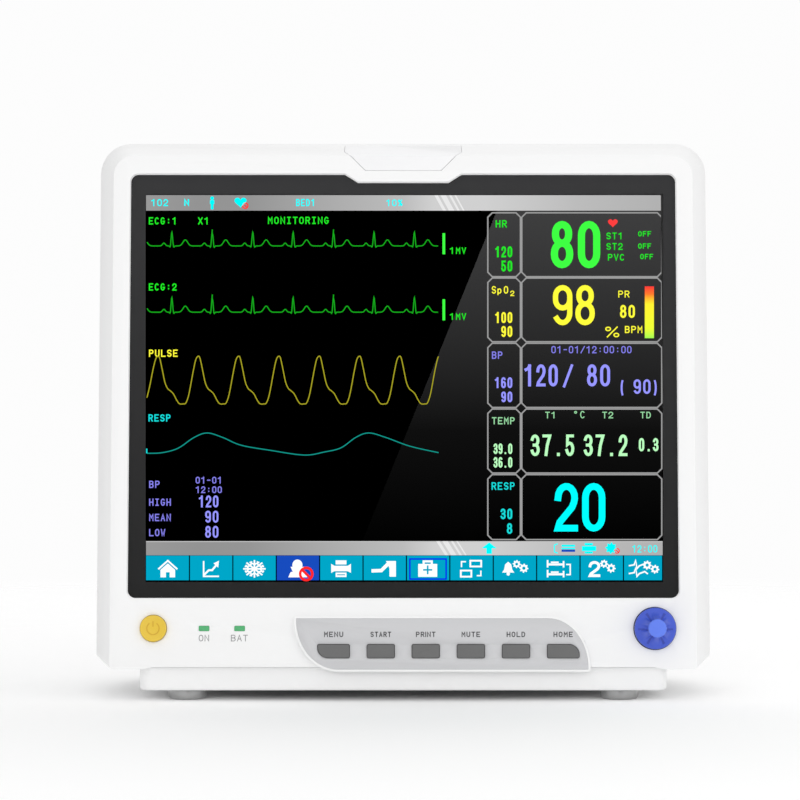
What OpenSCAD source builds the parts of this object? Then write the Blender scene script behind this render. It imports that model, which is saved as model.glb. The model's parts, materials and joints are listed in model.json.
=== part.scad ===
// Bedside patient monitor with a 15-inch display, built as separate pieces.
// Millimetres, +Z up, the screen faces -Y, the feet stand on z = 0.

/* [Body] */
// Outside width of the housing
housing_w = 364; // [360:1:368]
// Height of the middle of the display above the table
screen_z = 183.6; // [182.6:0.1:184.6]
// Backward lean of the front, in degrees
tilt = 5; // [4.5:0.1:5.5]
// Depth from the middle of the screen back to the rear wall
depth = 140; // [140:1:146]
// Wall thickness of the rear housing
wall = 2.6; // [2.4:0.1:2.8]
// Width of the flat front face
face_w = 343; // [341:1:345]

/* [Display] */
// Width of the lit picture
screen_w = 304.1; // [300:0.1:305]
// Height of the lit picture
screen_h = 228.1; // [226:0.1:229]
// Width of the cover glass
glass_w = 323; // [322:0.5:324]

/* [Controls] */
// Diameter of the power button
power_d = 15.5; // [14:0.1:17]
// Diameter of the flange of the knob
knob_d = 25; // [22:0.5:26]
// How far the knob stands out of the face
knob_out = 17; // [15:0.5:18]
// Width of an inner key
key_w = 15.9; // [14:0.1:18]
// Height of a key
key_h = 7.8; // [7:0.05:9]

/* [Base] */
// Width of the base tray
base_w = 309.6; // [300:0.1:320]
// Diameter of a rubber foot
foot_d = 22.3; // [18:0.1:26]
// Height of a rubber foot
foot_h = 6.2; // [6:0.1:6.4]

/* [Hidden] */
$fn = 64;
face_y = -(depth - 29.7) / 2;     // Y of the display plane at the middle of the screen
rear_y = face_y + depth;          // outside of the rear wall
taper_y = rear_y - 28;            // where the sides start to close in
flare = 26;                       // depth of the front bezel
top_z = 330.5;                    // top of the housing
bottom_z = 23.3;                  // underside of the housing
face_top = 138.1;                 // top of the flat front, up the face
face_bottom = -165.3;             // bottom of the flat front
bezel_wall = 3;                   // wall of the bezel
plate_t = 4.4;                    // thickness of the front plate
control_t = -141.5;               // height of the power button, lamps and knob on the face
key_t = -154.7;                   // height of the key row on the face
power_x = -146;
knob_x = 147;
lamp_x = [-116.4, -95.6];         // mains and run lamps
pivot_y = face_y + 90;            // handle hinge line
pivot_z = 323.5;
inlet = [96, 76];                 // mains inlet on the rear, x and z
fuses = [[74, 112], [94, 112]];
stud = [141, 74];
lan = [122, 120];
video = [126, 100];
recess_y = rear_y - 16;           // floor of the connector recess
vesa = 50;                        // half of the mounting pattern
vesa_z = 184;
door_axis = [179.2, 92];          // recorder door hinge, x and z
roller = [171.5, 160];            // platen roller, x and z
roll = [148, 118];                // paper roll, x and z
rec_y0 = face_y + 38;             // recorder bay, front and back
rec_y1 = face_y + 108;
batt_hinge = [-151.6, rear_y - 1.4];
side_y = face_y + 67;             // line of the patient sockets
sockets_z = [215, 175, 125, 100, 80];
towers = [[-166, 296], [166, 296], [-166, 56], [166, 56]];
key_x = [[-49.9, -31.4], [-13.1 - key_w / 2, -13.1 + key_w / 2], [13.1 - key_w / 2, 13.1 + key_w / 2],
         [39.4 - key_w / 2, 39.4 + key_w / 2], [65.7 - key_w / 2, 65.7 + key_w / 2], [84.0, 102.5]];

// ---- frames and basic shapes ----

// the leaning frame of the front: x across, z up the face, y into the housing
module face() { translate([0, face_y, screen_z]) rotate([-tilt, 0, 0]) children(); }

// a flat outline drawn in x and z, given a thickness from y0 to y1
module slab(y0, y1) { translate([0, y1, 0]) rotate([90, 0, 0]) linear_extrude(height = y1 - y0) children(); }

module box(x0, x1, y0, y1, z0, z1) { translate([x0, y0, z0]) cube([x1 - x0, y1 - y0, z1 - z0]); }

// cylinders along each axis, starting at the given point
module rod_y(x, z, y0, y1, r) { translate([x, y0, z]) rotate([-90, 0, 0]) cylinder(h = y1 - y0, r = r); }
module rod_x(y, z, x0, x1, r) { translate([x0, y, z]) rotate([0, 90, 0]) cylinder(h = x1 - x0, r = r); }
module rod_z(x, y, z0, z1, r) { translate([x, y, z0]) cylinder(h = z1 - z0, r = r); }

module round_rect(x0, x1, z0, z1, r) {
  translate([x0 + r, z0]) square([x1 - x0 - 2 * r, z1 - z0]);
  translate([x0, z0 + r]) square([x1 - x0, z1 - z0 - 2 * r]);
  for (x = [x0 + r, x1 - r], z = [z0 + r, z1 - r]) translate([x, z]) circle(r = r);
}

// four thin discs at the corners of an outline, for hulls
module corner_discs(half_w, z0, z1, r_top, r_bottom, y, n_bottom = 16) {
  for (s = [-1, 1]) {
    translate([s * (half_w - r_top), y, z1 - r_top]) rotate([-90, 0, 0]) cylinder(h = 0.01, r = r_top, $fn = 32);
    translate([s * (half_w - r_bottom), y, z0 + r_bottom]) rotate([-90, 0, 0]) cylinder(h = 0.01, r = r_bottom, $fn = n_bottom);
  }
}

// outline of the flared bezel at depth y
function bezel_half(y) = face_w / 2 + (housing_w - face_w) / 2 * y / flare;
function bezel_top(y) = face_top + 11.64 * y / flare;
function bezel_bottom(y) = face_bottom + 6.66 * y / flare;

module bezel_block(inset, y0, y1) {
  hull() for (y = [y0, y1 - 0.01])
    corner_discs(bezel_half(y) - inset, bezel_bottom(y) + inset, bezel_top(y) - inset,
                 12 + 6.5 * y / flare - inset, max(1, 2 + y / flare - inset), y);
}

module lamp_outline(g) {
  polygon([[-22.4 - g, 129.1 - g], [22.4 + g, 129.1 - g], [34.9 + g, 141.6 - g], [34.9 + g, 160],
           [-34.9 - g, 160], [-34.9 - g, 141.6 - g]]);
}

module glass_outline(g) {
  difference() {
    round_rect(-glass_w / 2 - g, glass_w / 2 + g, -123.8 - g, 126.9 + g, 4.7 + g);
    polygon([[-34.6, 126.9 + g], [-26.8, 122 + g], [26.8, 122 + g], [34.6, 126.9 + g], [34.6, 140], [-34.6, 140]]);
  }
}

function arc_pts(cx, cz, rx, rz, a0, a1, n) =
  [for (i = [0 : n]) [cx + rx * cos(a0 + (a1 - a0) * i / n), cz + rz * sin(a0 + (a1 - a0) * i / n)]];

// key panel: square corners at top left and bottom right, large curves at the other two
module panel_outline(g) {
  polygon(concat(
    arc_pts(-62.25, -135.9, 1.5 - g, 1.5 - g, 180, 90, 6),
    arc_pts(84.55, -164.4, 24.5 - g, 30 - g, 90, 0, 18),
    arc_pts(107.55, -165.1, 1.5 - g, 1.5 - g, 0, -90, 6),
    arc_pts(-37.75, -136.4, 26 - g, 30.2 - g, 270, 180, 18)));
}

// one key; the end keys have one large corner that follows the panel
module key_outline(i, g) {
  x0 = key_x[i][0] - g;
  x1 = key_x[i][1] + g;
  z0 = key_t - key_h / 2 - g;
  z1 = key_t + key_h / 2 + g;
  big = 6 + g;
  small = 0.8 + g;
  polygon(concat(
    arc_pts(x0 + small, z1 - small, small, small, 180, 90, 4),
    i == 5 ? arc_pts(x1 - big, z1 - big, big, big, 90, 0, 10) : arc_pts(x1 - small, z1 - small, small, small, 90, 0, 4),
    arc_pts(x1 - small, z0 + small, small, small, 0, -90, 4),
    i == 0 ? arc_pts(x0 + big, z0 + big, big, big, 270, 180, 10) : arc_pts(x0 + small, z0 + small, small, small, 270, 180, 4)));
}

// ---- front ----

module front_bezel() {
  color("white") difference() {
    face() difference() {
      union() {
        difference() {
          bezel_block(0, 0, flare);
          bezel_block(bezel_wall, plate_t, flare + 1);
        }
        for (s = [-1, 1], t = [114.7, -126.2]) translate([s * 169, 21.75, t]) cube([16, 8.5, 10], center = true);
      }
      slab(-1, 2.4) glass_outline(0.3);
      slab(2, 5) round_rect(-155, 155, -117, 117, 1);
      slab(-1, 22.15) lamp_outline(0.15);
      slab(-1, 5) round_rect(-53, 106, -161, -148.4, 1);
      rod_y(power_x, control_t, -1, 5, power_d / 2 + 0.3);
      rod_y(knob_x, control_t, -1, 5, 3.7);
      for (x = lamp_x) slab(-1, 5) round_rect(x - 3.15, x + 3.15, control_t - 1.6, control_t + 1.6, 0.6);
      slab(-1, 5) polygon([[-154, -165.4], [-147, -164.1], [147, -164.1], [154, -165.4], [154, -170], [-154, -170]]);
    }
    for (p = towers) rod_y(p[0], p[1], face_y + (p[1] > 200 ? 29 : 9), face_y + 60, 1.4);
  }
}

module cover_glass() { color([0.1, 0.1, 0.12, 0.5]) face() slab(0.4, 2.4) glass_outline(0); }

module alarm_lamp() {
  color("ivory") face() intersection() {
    difference() {
      bezel_block(0, 0, flare);
      bezel_block(bezel_wall, bezel_wall, flare + 1);
    }
    slab(-1, 22) lamp_outline(0);
  }
}

module alarm_board() {
  color("green") face() {
    box(-29, 29, 12, 13.6, 128.5, 138);
    for (i = [-2 : 2]) box(i * 11 - 1.7, i * 11 + 1.7, 10.4, 12, 131.5, 134.9);
  }
}

module lcd_panel() {
  color("dimgray") face() difference() {
    union() {
      box(-163.25, 163.25, 5.2, 15.9, -126.75, 126.75);
      box(-163.25, 163.25, 4.4, 5.2, -126.75, 126.75);
    }
    slab(4.3, 5.2) round_rect(-screen_w / 2 - 1, screen_w / 2 + 1, -screen_h / 2 - 1, screen_h / 2 + 1, 0.5);
  }
}

module display_bracket() {
  color("silver") face() difference() {
    union() {
      box(-161, 161, 15.9, 17.1, -122, 122);
      for (s = [-1, 1], t = [114.7, -126.2]) translate([s * 165, 16.5, t]) cube([14, 1.2, 9], center = true);
    }
    for (s = [-1, 1], t = [-60, 60]) translate([s * 78, 16.5, t]) cube([120, 3, 84], center = true);
  }
}

module key_panel() {
  color("white") face() difference() {
    slab(-3, 0) panel_outline(0);
    slab(-4, -2.6) panel_outline(1.2);
    for (i = [0 : 5]) slab(-4, 1) key_outline(i, 0.3);
  }
}

module key_overlay() {
  color("silver") face() difference() {
    slab(-3, -2.6) panel_outline(1.25);
    for (i = [0 : 5]) slab(-4, 1) key_outline(i, 0.3);
  }
}

// cap, and a flange that holds the key behind the panel
module key(i) {
  color("gray") face() {
    slab(-3.9, 4) key_outline(i, 0);
    slab(0.6, 2.2) key_outline(i, 1);
  }
}
module key_menu() { key(0); }
module key_start() { key(1); }
module key_print() { key(2); }
module key_mute() { key(3); }
module key_hold() { key(4); }
module key_home() { key(5); }

module key_mat() {
  color("lightgray") face() {
    box(-56, 108, 10.6, 12, -157.4, -150);
    for (k = key_x) translate([(k[0] + k[1]) / 2, 5.1, key_t]) rotate([-90, 0, 0]) cylinder(h = 5.6, r1 = 2, r2 = 2.6);
  }
}

module key_board() {
  color("green") face() {
    box(-158, 160, 12, 13.6, -157.5, -133);
    box(10, 40, 13.6, 17, -150, -142);
  }
}

module power_button() {
  color("gold") face() {
    rod_y(power_x, control_t, -2.4, 5, power_d / 2);
    rod_y(power_x, control_t, 4.8, 6.4, power_d / 2 + 1.4);
    rod_y(power_x, control_t, 6, 8, 2);
  }
}

module power_switch() {
  color("black") face() {
    box(power_x - 3.5, power_x + 3.5, 10.2, 12, control_t - 3.5, control_t + 3.5);
    rod_y(power_x, control_t, 9.7, 10.3, 1.7);
  }
}

module status_lenses() {
  color("green") face() for (x = lamp_x) {
    slab(-0.3, 4.6) round_rect(x - 3.05, x + 3.05, control_t - 1.5, control_t + 1.5, 0.5);
    box(x - 1.8, x + 1.8, 4.6, 12, control_t - 1.2, control_t + 1.2);
  }
}

module encoder_body() {
  color("dimgray") face() difference() {
    union() {
      translate([knob_x, 8.7, control_t]) cube([12.5, 6.6, 12.5], center = true);
      rod_y(knob_x, control_t, -0.3, 5.5, 3.5);
    }
    rod_y(knob_x, control_t, -2, 8.1, 3.06);
    rod_y(knob_x, control_t, 8, 11, 4.5);
  }
}

// rocks back with the shaft when the knob is pressed
module encoder_plunger() { color("silver") face() rod_y(knob_x, control_t, 8.6, 9.4, 4.3); }

module knob_shaft() {
  color("silver") face() rod_y(knob_x, control_t, -13, 8.5, 3);
}

// flange, hollowed body and cap, with five gripping fins
module knob() {
  color("royalblue") face() difference() {
    union() {
      translate([knob_x, 0, control_t]) rotate([90, 0, 0]) rotate_extrude()
        polygon([[0, 1.5], [knob_d / 2 - 0.6, 1.5], [knob_d / 2, 2.1], [knob_d / 2, 3.8], [knob_d / 2 - 1, 4.6],
                 [knob_d / 2 - 2.6, 5], [7.4, 6.6], [5.6, 9.2], [4.8, 12.4], [5.1, knob_out - 0.6],
                 [4.6, knob_out], [0, knob_out]]);
      for (i = [0 : 4]) translate([knob_x, 0, control_t]) rotate([0, 72 * i + 20, 0])
        translate([-1.1, 0, 0]) rotate([90, 0, 90]) linear_extrude(height = 2.2)
          polygon([[-4.6, 3], [-4.6, 9.8], [-5.4, 9.6], [-9, 8.2], [-knob_out + 0.8, 4.9], [-knob_out + 0.8, 3]]);
    }
    rod_y(knob_x, control_t, -13, 0, 3.03);
  }
}

// ---- base ----

base_screws_xy = [for (s = [-1, 1], y = [35, 100]) [s * 120, face_y + y]];

module base_tray() {
  front_y = face_y - 10.4;
  back_y = face_y + 130;
  color("white") difference() {
    union() {
      translate([0, 0, foot_h]) hull() {
        for (s = [-1, 1], y = [front_y + 8, back_y - 8]) {
          translate([s * (base_w / 2 - 8), y, 0]) cylinder(h = 0.01, r = 7, $fn = 32);
          translate([s * (base_w / 2 - 8), y, 1.2]) cylinder(h = 11.4, r = 8, $fn = 32);
        }
      }
      difference() {
        box(-140, 140, face_y + 16, face_y + 126, 18, bottom_z);
        box(-137, 137, face_y + 19, face_y + 123, 17, bottom_z + 1);
      }
    }
    difference() {
      box(-147, 147, front_y + 4, back_y - 4, foot_h + 3, 17);
      for (p = base_screws_xy) rod_z(p[0], p[1], foot_h, 25, 6.5);
      for (x = [-60, 0, 60]) box(x - 1, x + 1, front_y, back_y, foot_h, 25);
    }
    box(-137, 137, face_y + 19, face_y + 123, 16, 19);
    for (p = base_screws_xy) {
      rod_z(p[0], p[1], foot_h - 1, 12, 4.6);
      rod_z(p[0], p[1], 11, 30, 2.2);
    }
  }
}

module rubber_feet() {
  color("gainsboro") for (s = [-1, 1], y = [6, 114]) translate([s * 127.5, face_y + y, 0]) {
    cylinder(h = 1, r1 = foot_d / 2 - 0.8, r2 = foot_d / 2);
    translate([0, 0, 1]) cylinder(h = foot_h - 1, r = foot_d / 2);
  }
}

module base_screws() {
  color("silver") for (p = base_screws_xy) {
    rod_z(p[0], p[1], 9.2, 12, 4);
    rod_z(p[0], p[1], 12, 32, 1.8);
  }
}

// ---- rear housing ----

module housing_block(inset, y1) {
  hull() {
    for (y = [face_y - 20, taper_y])
      corner_discs(housing_w / 2 - inset, bottom_z + inset, top_z - inset, 18.5 - inset, inset > 1 ? 1.5 : 3, y,
                   inset > 1 ? 4 : 16);
    corner_discs(160 - inset, 45 + inset, 306 - inset, 14 - inset, max(1, 8 - inset), y1 - 0.01);
  }
}

// solid blocks joined to the inside of the shell
module housing_blocks() {
  box(-86, 86, face_y + 41.4, face_y + 100.6, 312.6, 329);
  box(-156, -44, rear_y - 44, rear_y - 1, 58, 130);
  for (s = [-1, 1], u = [-1, 1]) rod_y(s * vesa, vesa_z + u * vesa, rear_y - 14, rear_y - 1, 6.5);
  for (p = towers) rod_y(p[0], p[1], face_y, taper_y + 18, 6);
  for (p = base_screws_xy) rod_z(p[0], p[1], 24, 36, 5);
}

module vents() {
  for (s = [-1, 1], i = [0 : 7]) box(s * 105 - 30, s * 105 + 30, rear_y - 5, rear_y + 1, 240 + i * 6.5, 243 + i * 6.5);
  for (i = [-3 : 3]) box(110 - 12, 110 + 12, rear_y - 5, rear_y + 1, 188.8 + i * 4.6, 191.2 + i * 4.6);
}

module rear_housing() {
  color("white") difference() {
    union() {
      difference() {
        housing_block(0, rear_y);
        housing_block(wall, rear_y - wall);
      }
      intersection() {
        housing_block(0.5, rear_y - 0.5);
        housing_blocks();
      }
    }
    face() translate([-300, -300, -300]) cube([600, 300 + flare, 600]);
    box(-77, 77, face_y + 44, face_y + 98, 315.4, 340);
    box(-182.5, -179, face_y + 42, face_y + 92, 70, 250);
    box(179, 182.5, rec_y0, rec_y1, 87, 169);
    box(-150, -50, rear_y - 42, rear_y + 1, 64, 124);
    box(-154, -46, rear_y - 2.6, rear_y + 1, 60, 128);
    box(61.5, 149.5, rear_y - wall - 1, rear_y + 1, 57.5, 135.5);
    box(-135.3, -74.7, rear_y - 0.6, rear_y + 1, 149.7, 190.3);
    for (s = [-1, 1], u = [-1, 1]) rod_y(s * vesa, vesa_z + u * vesa, rear_y - 10.5, rear_y + 1, 3);
    for (p = towers) {
      rod_y(p[0], p[1], face_y + 42, rear_y + 1, 3.8);
      rod_y(p[0], p[1], face_y, face_y + 43, 1.7);
    }
    for (p = base_screws_xy) rod_z(p[0], p[1], 20, 33, 1.9);
    for (s = [-1, 1]) rod_x(pivot_y, pivot_z, s > 0 ? 76 : -84, s > 0 ? 84 : -76, 2.02);
    rod_z(batt_hinge[0], batt_hinge[1], 57, 131, 1.05);
    vents();
  }
}

module housing_screws() {
  color("silver") for (p = towers) {
    rod_y(p[0], p[1], face_y + 42, face_y + 44.2, 2.8);
    rod_y(p[0], p[1], face_y + (p[1] > 200 ? 30 : 12), face_y + 42, 1.35);
  }
}

module handle() {
  color("lightgray") difference() {
    union() {
      for (s = [-1, 1]) {
        box(s > 0 ? 68 : -76.2, s > 0 ? 76.2 : -68, face_y + 53, pivot_y, pivot_z - 6, pivot_z + 6);
        rod_x(pivot_y, pivot_z, s > 0 ? 68 : -76.2, s > 0 ? 76.2 : -68, 6);
      }
      translate([-76.2, face_y + 53, pivot_z]) rotate([0, 90, 0]) cylinder(h = 152.4, r = 6);
      box(-76.2, 76.2, face_y + 53, face_y + 60, pivot_z - 6, pivot_z + 6);
    }
    for (s = [-1, 1]) rod_x(pivot_y, pivot_z, s > 0 ? 67 : -77, s > 0 ? 77 : -67, 2.05);
  }
}

module handle_pins() {
  color("silver") for (s = [-1, 1]) {
    rod_x(pivot_y, pivot_z, s > 0 ? 66 : -84, s > 0 ? 84 : -66, 2);
    rod_x(pivot_y, pivot_z, s > 0 ? 66 : -67.8, s > 0 ? 67.8 : -66, 3.2);
  }
}

// ---- patient sockets on the left side ----

module sensor_panel() {
  color("gainsboro") difference() {
    union() {
      box(-180.6, -179.4, face_y + 42.3, face_y + 91.7, 70.3, 249.7);
      box(-179.4, -176.8, face_y + 38, face_y + 96, 66, 254);
    }
    rod_x(side_y, sockets_z[0], -183, -170, 12.2);
    rod_x(side_y, sockets_z[1], -183, -170, 10.2);
    rod_x(side_y, sockets_z[2], -183, -170, 6.2);
    for (i = [3, 4]) rod_x(side_y, sockets_z[i], -183, -170, 6.2);
  }
}

// round socket with contact holes in its floor
module round_socket(z, r_out, r_in, length) {
  difference() {
    union() {
      rod_x(side_y, z, -181.8, -155, r_out);
      rod_x(side_y, z, -176.8, -174, r_out + 3);
    }
    rod_x(side_y, z, -183, -181.8 + length, r_in);
    for (a = [0 : 60 : 300]) rod_x(side_y + r_in * 0.42 * cos(a), z + r_in * 0.42 * sin(a), -172, -167, 0.6);
  }
}

module ecg_socket() { color("green") round_socket(sockets_z[0], 12, 9.6, 11); }
module spo2_socket() { color("royalblue") round_socket(sockets_z[1], 10, 7.8, 11); }

module nibp_port() {
  color("silver") difference() {
    union() {
      rod_x(side_y, sockets_z[2], -181.8, -158, 6);
      rod_x(side_y, sockets_z[2], -176.8, -173, 9);
      rod_x(side_y, sockets_z[2], -158.1, -152, 3);
    }
    rod_x(side_y, sockets_z[2], -183, -162, 3.5);
    rod_x(side_y, sockets_z[2], -163, -151, 1.5);
  }
}

module temp_sockets() {
  color("dimgray") for (i = [3, 4]) difference() {
    union() {
      rod_x(side_y, sockets_z[i], -181.6, -158, 6);
      rod_x(side_y, sockets_z[i], -176.8, -173, 8.5);
    }
    rod_x(side_y, sockets_z[i], -183, -160, 3.2);
  }
}

// ---- paper recorder on the right side ----

module recorder_frame() {
  color("gray") difference() {
    union() {
      box(120, 181.4, rec_y0 + 0.3, rec_y1 - 0.3, 87.3, 168.7);
      box(176.6, 179.4, rec_y0 - 3, rec_y1 + 3, 84.3, 171.7);
    }
    difference() {
      box(122, 183, rec_y0 + 2.3, rec_y1 - 2.3, 89.3, 166.7);
      box(121, 158, rec_y0 + 7, rec_y1 - 7, 150, 168);
      for (y = [[rec_y0 + 1, rec_y0 + 14], [rec_y1 - 14, rec_y1 - 1]]) rod_y(roll[0], roll[1], y[0], y[1], 5.95);
    }
    rod_y(door_axis[0], door_axis[1], rec_y0 - 4, rec_y1 + 4, 1.25);
  }
}

module recorder_door() {
  y0 = rec_y0 + 2.7;
  y1 = rec_y1 - 2.7;
  color("lightgray") difference() {
    union() {
      box(178.6, 181.6, y0, y1, door_axis[1], 165.6);
      rod_y(door_axis[0], door_axis[1], y0, y1, 2.4);
      rod_y(door_axis[0], door_axis[1], rec_y0 + 0.6, rec_y1 - 0.6, 1.2);
      for (y = [[y0 + 0.3, y0 + 3.3], [y1 - 3.3, y1 - 0.3]]) box(168.5, 179, y[0], y[1], 156.5, 163.5);
    }
    rod_y(roller[0], roller[1], y0 - 1, y1 + 1, 2.05);
    box(178, 182, face_y + 65.7, face_y + 80.3, 135.7, 144.3);
  }
}

module recorder_latch() {
  color("gray") {
    box(178.2, 181.9, face_y + 66, face_y + 80, 136, 144);
    box(176.6, 178.3, face_y + 63, face_y + 83, 134, 146);
  }
}

module platen_roller() {
  color("dimgray") {
    rod_y(roller[0], roller[1], rec_y0 + 8, rec_y1 - 8, 5);
    rod_y(roller[0], roller[1], rec_y0 + 3.4, rec_y1 - 3.4, 2);
  }
}

module print_head() {
  color("black") box(158, 166.2, rec_y0 + 9, rec_y1 - 9, 151, 165);
}

module paper_roll() {
  color("white") difference() {
    rod_y(roll[0], roll[1], face_y + 49, face_y + 97, 20);
    rod_y(roll[0], roll[1], face_y + 48, face_y + 98, 6);
  }
}

// ---- battery ----

module battery_door() {
  color("white") difference() {
    union() {
      box(batt_hinge[0], -46.4, rear_y - 2.6, rear_y - 0.2, 60.4, 127.6);
      rod_z(batt_hinge[0], batt_hinge[1], 60.4, 127.6, 1.2);
      rod_z(batt_hinge[0], batt_hinge[1], 57.6, 130.4, 1);
    }
    box(-62, -52, rear_y - 1.2, rear_y, 84, 104);
  }
}

module battery_pack() {
  color("dimgray") {
    box(-148.5, -52, rear_y - 40, rear_y - 6, 65.5, 122.5);
    box(-120, -80, rear_y - 42, rear_y - 40, 80, 100);
  }
}

// ---- rear connectors ----

// tray behind the opening in the rear wall, with a flange against the wall's inside
module connector_panel() {
  back_y = recess_y - 2.5;
  color("white") difference() {
    union() {
      box(59, 152, back_y, rear_y - wall, 55, 138);
      box(57, 154, rear_y - wall - 2, rear_y - wall, 53, 140);
    }
    box(61.5, 149.5, recess_y, rear_y, 57.5, 135.5);
    box(inlet[0] - 14, inlet[0] + 14, back_y - 1, recess_y + 1, inlet[1] - 10.3, inlet[1] + 10.3);
    for (p = fuses) rod_y(p[0], p[1], back_y - 1, recess_y + 1, 6.1);
    rod_y(stud[0], stud[1], back_y - 1, recess_y + 1, 2.6);
    box(lan[0] - 8.3, lan[0] + 8.3, back_y - 1, recess_y + 1, lan[1] - 7, lan[1] + 7);
    box(video[0] - 9, video[0] + 9, back_y - 1, recess_y + 1, video[1] - 4.6, video[1] + 4.6);
  }
}

module ac_inlet() {
  color("black") difference() {
    union() {
      box(inlet[0] - 25, inlet[0] + 25, recess_y, recess_y + 2.5, inlet[1] - 11.25, inlet[1] + 11.25);
      box(inlet[0] - 13.75, inlet[0] + 13.75, recess_y - 22, recess_y, inlet[1] - 10, inlet[1] + 10);
    }
    box(inlet[0] - 12, inlet[0] + 12, recess_y - 15, recess_y + 3, inlet[1] - 8.2, inlet[1] + 8.2);
    for (s = [-1, 1]) rod_y(inlet[0] + s * 20, inlet[1], recess_y - 1, recess_y + 3, 1.7);
  }
  color("silver") for (p = [[-7, -1], [7, -1], [0, 3]])
    box(inlet[0] + p[0] - 1, inlet[0] + p[0] + 1, recess_y - 15.5, recess_y - 2, inlet[1] + p[1] - 2.5, inlet[1] + p[1] + 2.5);
}

module fuse_holders() {
  color("black") for (p = fuses) difference() {
    union() {
      rod_y(p[0], p[1], recess_y - 22, recess_y, 6);
      rod_y(p[0], p[1], recess_y, recess_y + 3, 7.5);
    }
    box(p[0] - 5, p[0] + 5, recess_y + 2, recess_y + 4, p[1] - 0.8, p[1] + 0.8);
  }
}

// pin with a collar outside the panel and a nut behind it
module ground_stud() {
  color("silver") {
    rod_y(stud[0], stud[1], recess_y + 1, recess_y + 14, 3);
    rod_y(stud[0], stud[1], recess_y, recess_y + 2, 5.5);
    rod_y(stud[0], stud[1], recess_y - 8, recess_y + 1, 2.5);
    rod_y(stud[0], stud[1], recess_y - 5, recess_y - 2.5, 5);
  }
}

module network_socket() {
  color("silver") difference() {
    box(lan[0] - 8.2, lan[0] + 8.2, recess_y - 15, recess_y + 0.8, lan[1] - 6.8, lan[1] + 6.8);
    box(lan[0] - 5.9, lan[0] + 5.9, recess_y - 12, recess_y + 2, lan[1] - 4.2, lan[1] + 4.2);
  }
}

module video_socket() {
  color("royalblue") difference() {
    box(video[0] - 8.9, video[0] + 8.9, recess_y - 14, recess_y + 4, video[1] - 4.5, video[1] + 4.5);
    for (i = [-2 : 2], z = [-2.2, 0, 2.2]) rod_y(video[0] + i * 2.3, video[1] + z, recess_y - 4, recess_y + 5, 0.5);
  }
}

// ---- inside ----

module main_board() {
  color("green") {
    box(-100, 100, face_y + 49.5, face_y + 51.1, 165, 295);
    box(-30, 30, face_y + 51.1, face_y + 63, 210, 262);
    box(50, 90, face_y + 51.1, face_y + 59, 172, 184);
    box(-92, -60, face_y + 51.1, face_y + 57, 172, 200);
  }
}

module power_supply() {
  color("silver") {
    box(-34, 74, face_y + 45.5, face_y + 47.1, 30, 112);
    box(-30, 70, face_y + 47.1, face_y + 92, 36, 108);
  }
}

module parameter_module() { color("silver") box(-152, -126, face_y + 46, face_y + 92, 160, 244); }

module nibp_pump() {
  color("dimgray") {
    rod_x(side_y, sockets_z[2], -88, -46, 13);
    box(-94, -88, face_y + 55, face_y + 79, 112, 138);
  }
}

module nibp_valve() { color("gray") box(-124, -104, face_y + 57, face_y + 77, 114, 136); }

module nibp_tube() {
  color("white") {
    rod_x(side_y, sockets_z[2], -152, -124, 2.5);
    rod_x(side_y, sockets_z[2], -104, -94, 2.5);
  }
}

module speaker() {
  color("dimgray") difference() {
    union() {
      rod_y(110, 190, rear_y - 8, rear_y - wall, 20);
      rod_y(110, 190, rear_y - 18, rear_y - 8, 11);
    }
    translate([110, rear_y - 7, 190]) rotate([-90, 0, 0]) cylinder(h = 6, r1 = 5, r2 = 17);
  }
}

module chassis() {
  color("silver") {
    box(-112, 105, face_y + 44, face_y + 45.5, 25.9, 302);
    box(-112, 105, face_y + 45.5, face_y + 96, 25.9, 27.4);
    for (s = [-1, 1], z = [172, 288]) rod_y(s * 92, z, face_y + 45.5, face_y + 49.5, 3);
  }
}

module mount_inserts() {
  color("gold") for (s = [-1, 1], u = [-1, 1]) difference() {
    rod_y(s * vesa, vesa_z + u * vesa, rear_y - 10.5, rear_y - 0.1, 3);
    rod_y(s * vesa, vesa_z + u * vesa, rear_y - 11, rear_y, 2);
  }
}

module rating_plate() { color("silver") box(-135, -75, rear_y - 0.6, rear_y - 0.1, 150, 190); }

// ---- the whole monitor, or one piece of it ----

front_bezel();
cover_glass();
alarm_lamp();
alarm_board();
lcd_panel();
display_bracket();
key_panel();
key_overlay();
key_menu();
key_start();
key_print();
key_mute();
key_hold();
key_home();
key_mat();
key_board();
power_button();
power_switch();
status_lenses();
encoder_body();
encoder_plunger();
knob_shaft();
knob();
base_tray();
rubber_feet();
base_screws();
rear_housing();
housing_screws();
handle();
handle_pins();
sensor_panel();
ecg_socket();
spo2_socket();
nibp_port();
temp_sockets();
recorder_frame();
recorder_door();
recorder_latch();
platen_roller();
print_head();
paper_roll();
battery_door();
battery_pack();
connector_panel();
ac_inlet();
fuse_holders();
ground_stud();
network_socket();
video_socket();
main_board();
power_supply();
parameter_module();
nibp_pump();
nibp_valve();
nibp_tube();
speaker();
chassis();
mount_inserts();
rating_plate();
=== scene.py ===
"""Bedside patient monitor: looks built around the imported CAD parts. Metres, +Z up, the screen faces -Y."""

import json
import math

import bmesh
import bpy
from mathutils import Matrix, Vector


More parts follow.
